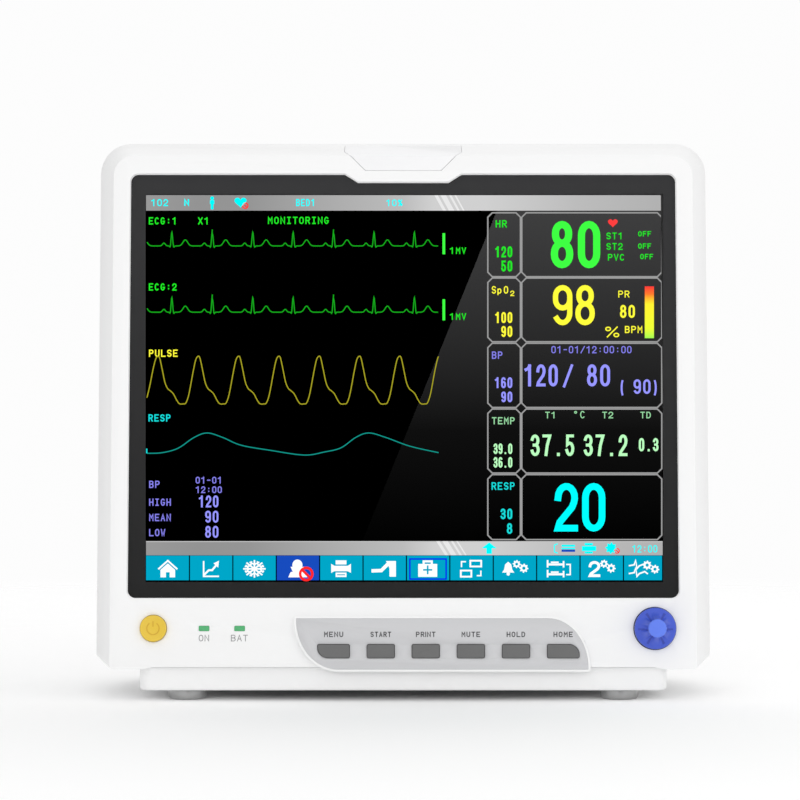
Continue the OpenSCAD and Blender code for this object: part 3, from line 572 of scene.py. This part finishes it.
def draw_picture():
    """Everything lit on the display, one thin mesh for each colour."""
    green = Ink("labels_green", srgb(34, 232, 40), 0.2)
    beat = Ink("trace_green", srgb(24, 168, 30), 0.18)
    bright = Ink("digits_green", srgb(62, 255, 66), 0.2)
    yellow = Ink("digits_yellow", srgb(255, 250, 60), 0.2)
    gold = Ink("trace_yellow", srgb(166, 160, 38), 0.2)
    cyan = Ink("digits_cyan", srgb(0, 255, 255), 0.3)
    aqua = Ink("labels_cyan", srgb(24, 216, 214), 0.3)
    teal = Ink("trace_cyan", srgb(20, 146, 134), 0.2)
    violet = Ink("digits_violet", srgb(150, 150, 255), 0.2)
    lilac = Ink("labels_violet", srgb(132, 128, 232), 0.2)
    mint = Ink("digits_mint", srgb(186, 252, 190), 0.2)
    sage = Ink("labels_mint", srgb(150, 214, 160), 0.2)
    lines = Ink("box_lines", srgb(154, 154, 154), 0.16)
    tiles = Ink("tiles", srgb(0, 163, 196), 0.1)
    tile_blue = Ink("tile_blue", srgb(23, 74, 186), 0.12)
    white = Ink("icons_white", srgb(255, 255, 255), 0.2)
    hole = Ink("icon_cuts", srgb(0, 163, 196), 0.24)
    red = Ink("marks_red", srgb(255, 40, 40), 0.3)
    pale_red = Ink("heart_red", srgb(255, 62, 62), 0.3)
    bar = Ink("grey_bars", srgb(170, 170, 170), 0.1)
    sheen_streak = Ink("bar_sheen_streaks", srgb(228, 228, 228), 0.14)
    edge = Ink("bar_edges", srgb(196, 196, 196), 0.12)
    select = Ink("selected_tile", srgb(8, 40, 232), 0.12)

    # The bars' grey is ramped across the screen and is brightest from about 170 to 200 mm: the bars' own grey
    # with a painted sheen where the slanted glare crosses them.
    ramp_by_axis(bar.material, "X", -0.152, 0.152,
                 [(0.0, srgb(150, 150, 150)), (0.1, srgb(144, 144, 144)), (0.2, srgb(146, 146, 146)),
                  (0.36, srgb(168, 168, 168)), (0.5, srgb(184, 184, 184)), (0.56, srgb(204, 204, 204)),
                  (0.66, srgb(204, 204, 204)), (0.84, srgb(184, 184, 184)), (1.0, srgb(174, 174, 174))],
                 "Emission Color")

    # status bars at the top and above the keys
    bar.rect(0, SCREEN_W, 0, 9.5)
    bar.rect(0, SCREEN_W, 204.1, 212.4)
    # Slanted bright streaks across both bars: painted sheen on the display.
    for top, low, x in ((0, 9.5, 169.5), (204.1, 212.4, 170.8)):
        for k, w in ((0, 2.0), (3.6, 3.2), (8.6, 1.4), (11.8, 1.0)):
            sheen_streak.poly([(x + k, top), (x + k + w, top), (x + k + w + 5.2, low), (x + k + 5.2, low)])
        edge.rect(0, SCREEN_W, top, top + 0.5)
    cyan.words("102", 2.9, 13.0, 2.7, 6.9, 0.66)
    cyan.words("N", 22.4, 25.4, 2.7, 6.7, 0.9)
    cyan.disc(38.9, 2.2, 1.1, 14)
    cyan.rect(37.6, 40.2, 3.3, 5.6)
    cyan.rect(38.1, 39.7, 5.4, 8.8)
    heart(cyan, 55.6, 4.4, 7.2)
    barred(red, 58.4, 6.6, 1.6)
    cyan.words("BED1", 88.3, 99.4, 2.6, 6.9, 0.66)
    cyan.words("10%", 141.3, 151.0, 2.9, 6.9, 0.66)
    cyan.poly([(202, 204.8), (206.4, 208.3), (203.6, 208.3), (203.6, 211.6), (200.4, 211.6), (200.4, 208.3),
               (197.6, 208.3)])
    cyan.line([(242.4, 205.6), (240.4, 206.4), (240.4, 210.4), (242.4, 211.2)], 0.7)
    cyan.rect(244.6, 252.6, 206.2, 207.4)
    cyan.rect(244.6, 252.6, 208.0, 208.8)
    tile_blue.rect(244.6, 252.6, 209.0, 210.4)
    cyan.rect(256.6, 265.0, 207.0, 209.9)
    cyan.rect(258.2, 263.0, 205.2, 206.6)
    cyan.rect(258.2, 263.0, 210.2, 211.4)
    gear(cyan, hole, 273.8, 208.2, 3.4)
    barred(red, 277.2, 209.8, 1.4)
    cyan.words("12:00", 286.2, 301.0, 206.4, 210.8, 0.6)

    # heart traces
    green.words("ECG:1", 1.6, 18.0, 13.4, 17.7)
    green.words("X1", 30.6, 37.0, 13.4, 17.7)
    green.words("MONITORING", 71.7, 107.6, 13.1, 17.4)
    ecg_trace(beat, 30.3, 9.7)
    bright.rect(174.5, 176.1, 22.8, 35.2)
    green.words("1", 178.7, 181.4, 31.1, 35.0, 0.66)
    green.words("MV", 182.4, 188.4, 31.1, 35.0, 0.66)
    green.words("ECG:2", 1.6, 18.0, 52.3, 56.6)
    ecg_trace(beat, 69.3, 10.4)
    bright.rect(174.5, 176.1, 61.7, 74.1)
    green.words("1", 178.7, 181.4, 69.9, 73.8, 0.66)
    green.words("MV", 182.4, 188.4, 69.9, 73.8, 0.66)
    # pulse and breathing
    yellow.words("PULSE", 1.7, 18.6, 91.3, 95.6)
    pleth_trace(gold)
    aqua.words("RESP", 1.4, 14.4, 129.4, 133.7)
    resp_trace(teal)
    aqua.rect(0, 0.8, 149.6, 152.4)
    # pressure list
    for text, y0 in (("BP", 168.5), ("HIGH", 179.0), ("MEAN", 188.0), ("LOW", 196.9)):
        lilac.words(text, 1.8, 1.4 + 3.3 * len(text), y0, y0 + 4.3, 0.66)
    lilac.words("01-01", 29.2, 44.6, 166.2, 170.2, 0.62)
    lilac.words("12:00", 29.2, 44.6, 171.8, 175.8, 0.62)
    for text, x0, y0 in (("120", 31.0, 177.2), ("90", 34.8, 186.2), ("80", 34.8, 195.1)):
        violet.words(text, x0, 42.6, y0, y0 + 7.0, 1.05)

    # reading boxes
    rows = [(10.8, 48.4), (49.2, 86.7), (87.6, 125.4), (126.3, 164.0), (164.9, 203.2)]
    for y0, y1 in rows:
        frame_box(lines, 201.2, 220.4, y0, y1)
        frame_box(lines, 221.2, 303.6, y0, y1)

    green.words("HR", 205.8, 212.4, 15.1, 19.4)
    green.words("120", 205.5, 215.6, 30.5, 37.0, 1.05)
    green.words("50", 209.1, 215.6, 38.9, 45.4, 1.05)
    bright.words("80", 238.3, 267.4, 15.6, 43.4, 4.2, 0.17)
    heart(pale_red, 274.8, 16.6, 5.8)
    green.words("ST1", 271.0, 280.6, 22.4, 26.4, 0.62)
    green.words("ST2", 271.0, 280.6, 28.6, 32.6, 0.62)
    green.words("PVC", 271.9, 281.6, 35.0, 39.0, 0.62)
    for x, y in ((289.7, 21.6), (289.7, 28.8), (290.9, 35.0)):
        green.words("OFF", x, x + 7.6, y, y + 3.1, 0.55)

    yellow.words("Sp", 203.5, 209.4, 53.9, 58.4, 0.66)
    yellow.words("O", 210.6, 213.2, 53.9, 58.4, 0.66)
    yellow.words("2", 214.4, 216.8, 56.6, 59.8, 0.55)
    yellow.words("100", 205.5, 215.6, 69.2, 75.7, 1.05)
    yellow.words("90", 209.1, 215.6, 77.4, 83.9, 1.05)
    yellow.words("98", 239.5, 264.2, 53.3, 77.0, 3.1, 0.13)
    yellow.words("%", 270.3, 278.6, 77.7, 84.2, 0.75)
    yellow.words("PR", 278.0, 284.6, 56.6, 60.7, 0.6)
    yellow.words("80", 279.0, 287.8, 65.0, 72.7, 1.25)
    yellow.words("BPM", 281.9, 292.2, 77.4, 81.6, 0.66)
    scale = Ink("level_bar", srgb(255, 240, 50), 0.2)
    scale.rect(293.6, 299.0, 54.1, 84.6)
    ramp_by_axis(scale.material, "Z", 0.183 + 0.030, 0.183 + 0.060,
                 [(0.0, srgb(165, 250, 80)), (0.18, srgb(235, 252, 55)), (0.66, srgb(255, 238, 50)),
                  (0.86, srgb(255, 120, 45)), (1.0, srgb(255, 60, 55))], "Emission Color")

    lilac.words("BP", 203.6, 209.8, 92.4, 96.8, 0.66)
    violet.words("160", 205.3, 215.6, 107.6, 114.0, 1.05)
    violet.words("90", 209.1, 215.6, 116.0, 122.3, 1.05)
    lilac.words("01-01/12:00:00", 238.6, 285.8, 89.2, 93.5, 0.6)
    violet.words("120", 222.6, 242.4, 100.0, 113.0, 1.75)
    violet.words("/", 245.4, 251.4, 100.0, 113.6, 1.5)
    violet.words("80", 259.6, 273.2, 100.0, 113.0, 1.75)
    violet.words("(", 278.9, 282.0, 109.0, 118.6, 1.1)
    violet.words("90", 287.0, 297.0, 108.8, 117.4, 1.25)
    violet.words(")", 297.8, 301.2, 109.0, 118.6, 1.1)

    sage.words("TEMP", 203.6, 217.0, 131.1, 135.3, 0.66)
    mint.words("39.0", 204.6, 215.6, 146.6, 152.8, 0.95, 0.16)
    mint.words("36.0", 204.6, 215.6, 154.6, 160.8, 0.95, 0.16)
    sage.words("T1", 235.0, 241.2, 127.9, 131.8, 0.6)
    sage.words("°C", 251.8, 258.4, 127.4, 131.8, 0.6)
    sage.words("T2", 268.6, 275.0, 127.9, 131.8, 0.6)
    sage.words("TD", 291.0, 297.2, 127.9, 131.8, 0.6)
    mint.words("37.5", 226.6, 252.1, 141.3, 154.0, 1.7)
    mint.words("37.2", 257.9, 283.4, 141.3, 154.0, 1.7)
    mint.words("0.3", 290.1, 301.7, 143.4, 151.2, 1.2)

    aqua.words("RESP", 203.4, 217.0, 169.4, 173.9)
    aqua.words("30", 208.8, 215.6, 184.9, 191.2, 1.05)
    aqua.words("8", 212.4, 215.6, 193.5, 199.8, 1.05)
    cyan.words("20", 240.6, 270.4, 169.9, 198.4, 3.9, 0.15)

    # soft keys along the bottom
    edges = [0] + [25.55 * i for i in range(1, 12)] + [SCREEN_W]
    for i in range(12):
        ink = tile_blue if i == 3 else tiles
        ink.rect(edges[i] + (0.35 if i else 0), edges[i + 1] - 0.35, 212.6, 227.1)
    select.line([(edges[6] + 2.0, 214.6), (edges[7] - 2.2, 214.6), (edges[7] - 2.2, 226.4),
                    (edges[6] + 2.0, 226.4)], 0.9, True)
    icons(white, hole, red, 220.4)

    for ink in (green, beat, bright, yellow, gold, cyan, aqua, teal, violet, lilac, mint, sage, lines, tiles,
                tile_blue, select, white, hole, red, pale_red, bar, edge, sheen_streak, scale):
        ink.make()


# ---- front pieces ----

def glass_print_and_reflection():
    """Dark border printed on the back of the cover glass, with a window for the picture; its grey carries a
    painted reflection, lighter towards the top.
    """
    outer = []
    w, z0, z1, r = 161.4, -123.7, 126.8, 4.6
    for cx, cz, a0 in ((w - r, z1 - r, 90), (w - r, z0 + r, 0), (-w + r, z0 + r, -90), (-w + r, z1 - r, 180)):
        for i in range(9):
            a = math.radians(a0 - 90 * i / 8)
            outer.append((cx + r * math.cos(a), cz + r * math.sin(a)))
    notch = [(-34.6, 126.8), (-26.8, 121.9), (26.8, 121.9), (34.6, 126.8)]
    outer = outer + notch
    window = [(-0.3, -0.3), (SCREEN_W + 0.3, -0.3), (SCREEN_W + 0.3, SCREEN_H), (-0.3, SCREEN_H)]
    inner = [(p.x, p.z) for p in (seen_at(x, y, GLASS_DEPTH) for x, y in window)]
    bm = bmesh.new()
    loops = []
    for ring in (outer, inner):
        verts = [bm.verts.new((x, GLASS_DEPTH - 0.02, z)) for x, z in ring]
        loops += [bm.edges.new((verts[i], verts[(i + 1) % len(verts)])) for i in range(len(verts))]
    bmesh.ops.triangle_fill(bm, use_beauty=True, edges=loops, normal=(0, -1, 0))
    bmesh.ops.transform(bm, matrix=FACE, verts=bm.verts)
    mesh = bpy.data.meshes.new("glass_border_print")
    bm.to_mesh(mesh)
    bm.free()
    mesh.materials.append(PRINT_AND_REFLECTION)
    obj = bpy.data.objects.new("glass_border_print", mesh)
    bpy.context.scene.collection.objects.link(obj)
    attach(obj, "monitor")


def lcd_surface():
    """Glossy black front of the display."""
    w, h = SCREEN_W / 2 + 1.8, SCREEN_H / 2 + 1.8
    put("lcd_surface", [(-w, LCD_DEPTH - 0.02, -h), (w, LCD_DEPTH - 0.02, -h), (w, LCD_DEPTH - 0.02, h),
                        (-w, LCD_DEPTH - 0.02, h)], [[0, 1, 2, 3]], LCD_BLACK)


def labels():
    """Printed words under the lamps and over the keys."""
    pale = Ink("lamp_labels", (0, 0, 0, 1), 0.06)
    pale.material = INK_PALE
    pale.words("ON", -119.4, -113.4, 145.2, 149.0, 0.42)
    pale.words("BAT", -100.6, -90.8, 145.2, 149.0, 0.42)
    pale.make(0.0)
    dark = Ink("key_labels", (0, 0, 0, 1), 0.08)
    dark.material = INK
    for x, text, wide in ((-40.6, "MENU", 11.2), (-13.1, "START", 12.0), (13.1, "PR|NT", 11.4),
                          (39.4, "MUTE", 10.8), (65.7, "HOLD", 10.8), (93.2, "HOME", 11.2)):
        dark.words(text, x - wide / 2, x + wide / 2, 143.4, 146.5, 0.52, 0.25)
    dark.make(-3.0)


def key_gap_shading():
    """Dark line round each key, painted shade of the gap round it; one corner of each end key is large, like
    the key's.
    """
    ink = Ink("key_gap_shading", (0, 0, 0, 1), 0.04)
    ink.material = KEY_SHADE_INK
    low, high = -KEY_T - KEY_H / 2 - 0.05, -KEY_T + KEY_H / 2 + 0.05
    for x, wide, big in KEYS:
        x0, x1 = x - wide / 2 - 0.05, x + wide / 2 + 0.05
        radii = [1.0, 6.2 if big > 0 else 1.0, 1.0, 6.2 if big < 0 else 1.0]
        centres = [(x0, low, 1, 1), (x1, low, -1, 1), (x1, high, -1, -1), (x0, high, 1, -1)]
        points = []
        for n in range(4):
            cx, cy, sx, sy = centres[n]
            turn, start = radii[n], 180 + 90 * n
            points += arc(cx + sx * turn, cy + sy * turn, turn, turn, start, start + 90, 6)
        ink.line(points, 0.4, True)
    ink.make(-3.0)


def power_symbol():
    """Ring and bar of the power button's engraving, drawn flat in darker yellow: painted shade of the
    engraving.
    """
    mark = Ink("power_mark", (0, 0, 0, 1), 0.03)
    mark.material = YELLOW_ENGRAVING_SHADE
    x, y = POWER_X, -CONTROL_T
    mark.line(arc(x, y, 3.6, 3.6, -55, 235, 20), 0.7)
    mark.line([(x, y - 4.2), (x, y - 1.0)], 0.7)
    obj = mark.make(-2.4)
    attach(obj, "power_button")


def knob_mesh():
    """Flange, fluted waist and flat cap, revolved about the knob's axis; the flutes carry painted shade."""
    profile = [(0.0, 1.5, 0), (10.6, 1.5, 0), (11.7, 1.6, 0), (12.1, 2.1, 0), (12.1, 3.5, 0), (11.8, 4.1, 0),
               (11.2, 4.5, 0), (10.4, 4.7, 0.02), (9.3, 5.4, 0.10), (8.2, 6.7, 0.2), (7.2, 8.4, 0.27),
               (6.4, 10.4, 0.26), (5.8, 12.6, 0.2), (5.5, 14.6, 0.12), (5.4, 15.6, 0.06), (5.3, 16.3, 0.0),
               (5.0, 16.8, 0), (4.4, 17.0, 0), (0.0, 17.0, 0)]
    turns, flutes = 120, 6
    verts, faces = [], []
    for r, out, cut in profile:
        for i in range(turns):
            a = 2 * math.pi * i / turns
            u = abs(((a / (2 * math.pi) * flutes + 0.5) % 1) - 0.5) * 2
            k = 1 - cut * max(0.0, 1 - (u / 0.55) ** 2)
            verts.append((KNOB_X + r * k * math.cos(a), -out, CONTROL_T + r * k * math.sin(a)))
    for j in range(len(profile) - 1):
        for i in range(turns):
            n = (i + 1) % turns
            faces.append([j * turns + i, j * turns + n, (j + 1) * turns + n, (j + 1) * turns + i])
    obj = put("knob_shaped", verts, faces, BLUE, "knob", smooth=True)
    obj.data.materials.append(BLUE_CAP)
    obj.data.materials.append(BLUE_FLUTE_SHADE)
    bm = bmesh.new()
    bm.from_mesh(obj.data)
    bmesh.ops.remove_doubles(bm, verts=bm.verts, dist=0.000002)
    bmesh.ops.recalc_face_normals(bm, faces=bm.faces)
    axis = FACE.to_3x3().normalized() @ Vector((0, -1, 0))
    for f in bm.faces:
        away = f.calc_center_median() - FACE @ Vector((KNOB_X, 0, CONTROL_T))
        reach = away.dot(axis)
        turn = math.atan2(away.z, away.x) / (2 * math.pi) * flutes
        if reach > 16.25 * MM:
            f.material_index = 1
        # Narrow strips down each flute take the darker blue: painted shade in the flutes.
        elif reach > 4.8 * MM and abs((turn + 0.5) % 1 - 0.5) < 0.07:
            f.material_index = 2
    bm.to_mesh(obj.data)
    bm.free()
    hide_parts("knob")


def base_lip():
    """Low lip round the front of the base that closes its joint with the leaning bezel."""
    corner_x, corner_y, radius, thick = 146.8, -57.55, 8.03, 1.03
    verts, faces = [], []
    for side, start in ((-1, 180), (1, 270)):
        for i in range(13):
            a = math.radians(start + 90 * i / 12)
            across, out = math.cos(a), math.sin(a)
            x, y = side * corner_x + radius * across, corner_y + radius * out
            top = 19.62 + (y - corner_y + radius) * math.tan(TILT)
            inner = (side * corner_x + (radius - thick) * across, corner_y + (radius - thick) * out)
            verts += [(x, y, 18.45), (x, y, top), (*inner, top), (*inner, 18.7)]
    for i in range(0, len(verts) - 4, 4):
        faces += [[i + k, i + k + 4, i + k + 5, i + k + 1] for k in range(3)]
    put("base_lip", verts, faces, BASE, matrix=Matrix.Scale(MM, 4))


def knob_shadow_ring():
    """Thin dark ring on the face where the knob's flange meets it: painted shadow of the gap under the
    flange.
    """
    ring = Ink("knob_shadow_ring", (0, 0, 0, 1), 0.05)
    ring.material = KNOB_GAP_SHADOW
    ring.ring(KNOB_X, -CONTROL_T, 12.3, 0.6, 64)
    ring.make(0.0)


# ---- assemble ----

soften("front_bezel", WHITE, 0.5, 30, 3)
soften("rear_housing", HOUSING, 0, 30)
soften("alarm_lamp", LAMP, 0.3, 30, 2)
soften("base_tray", BASE, 0.15, 30, 2)
soften("rubber_feet", RUBBER, 0.6, 40, 2)
soften("key_panel", RIM, 0.35, 40, 2)
soften("key_overlay", OVERLAY, 0.08, 40, 1)
for key in ("key_menu", "key_start", "key_print", "key_mute", "key_hold", "key_home"):
    soften(key, KEY, 0.45, 40, 2)
soften("power_button", YELLOW, 0.9, 40, 3)
soften("status_lenses", GREEN_LENS, 0.2, 40, 1)
soften("handle", GREY, 1.0, 40, 3)
soften("sensor_panel", GREY, 0.4, 40, 2)
soften("recorder_door", HOUSING, 0.4, 40, 2)
soften("recorder_latch", DARK_GREY, 0.4, 40, 2)
soften("battery_door", HOUSING, 0.35, 40, 2)
soften("ac_inlet", BLACK, 0.3, 40, 2)
soften("fuse_holders", BLACK, 0.4, 40, 2)
soften("connector_panel", HOUSING, 0.3, 40, 2)

PLAIN = {
    "cover_glass": GLASS, "lcd_panel": BLACK, "alarm_board": BOARD, "display_bracket": SHEET,
    "key_mat": SILICONE, "key_board": BOARD, "power_switch": BLACK, "encoder_body": DARK_GREY,
    "encoder_plunger": STEEL, "knob_shaft": STEEL, "base_screws": STEEL, "housing_screws": STEEL,
    "handle_pins": STEEL,
    "ecg_socket": PLUG_GREEN, "spo2_socket": PLUG_BLUE, "nibp_port": STEEL, "temp_sockets": DARK_GREY,
    "recorder_frame": DARK_GREY, "platen_roller": DARK_RUBBER, "print_head": CHIP, "paper_roll": PAPER,
    "battery_pack": BLACK, "ground_stud": STEEL, "network_socket": SHEET, "video_socket": PLUG_BLUE,
    "main_board": BOARD, "power_supply": SHEET, "parameter_module": SHEET, "nibp_pump": BLACK,
    "nibp_valve": GREY, "nibp_tube": SILICONE, "speaker": BLACK, "chassis": SHEET, "mount_inserts": BRASS,
    "rating_plate": PLATE,
}
for node_name, finish in PLAIN.items():
    dress(node_name, finish)

base_lip()
knob_mesh()
knob_shadow_ring()
glass_print_and_reflection()
lcd_surface()
draw_picture()
labels()
key_gap_shading()
power_symbol()

# ---- stage ----

def mirrored(x, t, plane_y):
    """Where the camera's view of the display point (x, t), mirrored by the display, meets a plane."""
    p = FACE @ Vector((x, LCD_DEPTH, t))
    normal = FACE.to_3x3().normalized() @ Vector((0, -1, 0))
    ray = (p - CAMERA * MM).normalized()
    back = ray - 2 * ray.dot(normal) * normal
    return p + back * ((plane_y - p.y) / back.y)


def board(name, corners, material):
    """A flat board that the camera doesn't see and that throws no shadow."""
    mesh = bpy.data.meshes.new(name)
    mesh.from_pydata([tuple(c) for c in corners], [], [[0, 1, 2, 3]])
    mesh.materials.append(material)
    obj = bpy.data.objects.new(name, mesh)
    bpy.context.scene.collection.objects.link(obj)
    material.cycles.emission_sampling = "NONE"
    obj.visible_camera = False
    obj.visible_shadow = False
    return obj


def card(name, corners, material):
    """A board that only mirrors show."""
    obj = board(name, corners, material)
    obj.visible_diffuse = False
    obj.visible_transmission = False


def reflection_cards():
    """A dark flag that keeps the display black, and a pale slanted card for the sheen on its right."""
    far, near = -2.6, -2.55
    flag = light("flag_black", (0, 0, 0, 1), 0.0)
    wide, high = 230, 190
    corners = ((-wide, -high), (wide, -high), (wide, high), (-wide, high))
    card("dark_flag", [mirrored(x, t, far) for x, t in corners], flag)
    sheen = light("sheen_card", (1, 1, 1, 1), 1.0)
    pts = [mirrored(x, t, near) for x, t in ((-44.2, -140), (200, -140), (200, 140), (69.6, 140))]
    ramp_by_axis(sheen, "Z", mirrored(0, -100, near).z, mirrored(0, 112, near).z,
                 [(0.0, (0.0, 0.0, 0.0, 1)), (0.35, (0.12, 0.12, 0.12, 1)), (1.0, (1.28, 1.28, 1.3, 1))],
                 "Emission Color")
    card("sheen_card", pts, sheen)


def round_fade(tree, scale, stops, socket):
    """Colour stops from the rim of an ellipsoid about the object's origin, at 0, to its middle, at 1."""
    where = tree.nodes.new("ShaderNodeTexCoord")
    spread = tree.nodes.new("ShaderNodeMapping")
    spread.inputs["Scale"].default_value = scale
    ball = tree.nodes.new("ShaderNodeTexGradient")
    ball.gradient_type = "SPHERICAL"
    ramp = tree.nodes.new("ShaderNodeValToRGB")
    for mark, (at, colour) in zip(ramp.color_ramp.elements, stops):
        mark.position = at
        mark.color = colour
    tree.links.new(where.outputs["Object"], spread.inputs["Vector"])
    tree.links.new(spread.outputs["Vector"], ball.inputs["Vector"])
    tree.links.new(ball.outputs["Fac"], ramp.inputs["Fac"])
    tree.links.new(ramp.outputs["Color"], socket)


def floor():
    """A plain pale floor that thins out into the white surround and glows a little round the object but not
    under it, a painted shadow beneath the object.
    """
    m, tree, b = principled("floor_paper")
    b.inputs["Base Color"].default_value = (0.94, 0.94, 0.94, 1)
    b.inputs["Emission Strength"].default_value = 0.12
    b.inputs["Roughness"].default_value = 0.9
    b.inputs["Specular IOR Level"].default_value = 0.1
    round_fade(tree, (0.9, 0.9, 0.9), [(0.0, (0, 0, 0, 1)), (0.55, (1, 1, 1, 1))], b.inputs["Alpha"])
    # The emission is cut out under the object: painted shadow.
    round_fade(tree, (5.0, 10.0, 1.0), [(0.0, (1, 1, 1, 1)), (0.4, (0, 0, 0, 1))], b.inputs["Emission Color"])
    mesh = bpy.data.meshes.new("floor")
    s = 1.3
    mesh.from_pydata([(-s, -s, 0), (s, -s, 0), (s, s, 0), (-s, s, 0)], [], [[0, 1, 2, 3]])
    mesh.materials.append(m)
    obj = bpy.data.objects.new("floor", mesh)
    bpy.context.scene.collection.objects.link(obj)


def area(name, where, aim, size, power):
    data = bpy.data.lights.new(name, "AREA")
    data.shape = "RECTANGLE"
    data.size, data.size_y = size
    data.energy = power
    obj = bpy.data.objects.new(name, data)
    obj.location = where
    obj.rotation_euler = (Vector(aim) - Vector(where)).to_track_quat("-Z", "Y").to_euler()
    obj.visible_glossy = False
    bpy.context.scene.collection.objects.link(obj)


def side_flags():
    """Grey boards beside the object that shade its left edges, and a little its right ones."""
    front, back, low, high = -0.9, 0.5, 0.1, 1.1
    for side, name, glow in ((-1, "left_flag", 0.42), (1, "right_flag", 0.7)):
        corners = [(side, front, low), (side, back, low), (side, back, high), (side, front, high)]
        obj = board(name, corners, light(name, (1, 1, 1, 1), glow))
        obj.visible_glossy = False


def studio():
    world = bpy.data.worlds.new("surround")
    world.use_nodes = True
    sky = world.node_tree.nodes["Background"]
    sky.inputs["Color"].default_value = (1, 1, 1, 1)
    sky.inputs["Strength"].default_value = 0.98
    bpy.context.scene.world = world
    area("right_soft", (1.9, -1.6, 0.9), (0, 0, 0.17), (1.2, 1.2), 2)
    area("top_soft", (0.3, -1.0, 1.9), (0, -0.1, 0.1), (1.6, 1.0), 0.7)
    area("front_soft", (-0.2, -2.0, 0.8), (0, 0, 0.12), (1.4, 0.5), 3.4)
    scene = bpy.context.scene
    scene.view_settings.view_transform = "Standard"
    scene.view_settings.look = "None"


def camera():
    data = bpy.data.cameras.new("camera")
    data.lens = 122.3
    data.sensor_width = 36
    data.clip_end = 20
    obj = bpy.data.objects.new("camera", data)
    obj.location = CAMERA * MM
    obj.rotation_euler = (math.radians(90), 0, 0)
    bpy.context.scene.collection.objects.link(obj)
    bpy.context.scene.camera = obj


reflection_cards()
side_flags()
floor()
studio()
camera()
